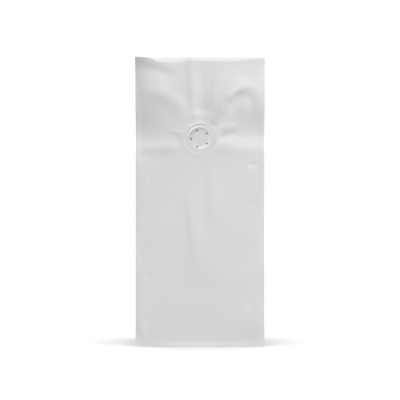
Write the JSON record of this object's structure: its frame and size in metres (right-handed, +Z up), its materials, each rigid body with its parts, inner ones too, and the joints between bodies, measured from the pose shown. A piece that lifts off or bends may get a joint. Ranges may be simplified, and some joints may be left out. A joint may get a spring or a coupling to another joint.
{
  "type": "quad seal bag",
  "caption": "Shut and filled quad seal bag of plain white film, standing on its flat base, with corner seals, folded side gussets, a flat top seal and a round degassing valve in front.",
  "frame": {"origin": "middle of the base, on the surface the bag stands on", "axes": "+Z up along the bag's height, the front panel with the valve faces -Y, +X to the right as seen from the front"},
  "size_m": [0.1106, 0.086, 0.2469],
  "materials": {
    "film": "plain white laminated film with a soft satin sheen, slightly creased",
    "valve_plastic": "the same white film pressed over the valve, slightly glossier on its rings"
  },
  "bodies": {
    "root": {"bag": "film", "valve": "valve_plastic"}
  },
  "joints": []
}
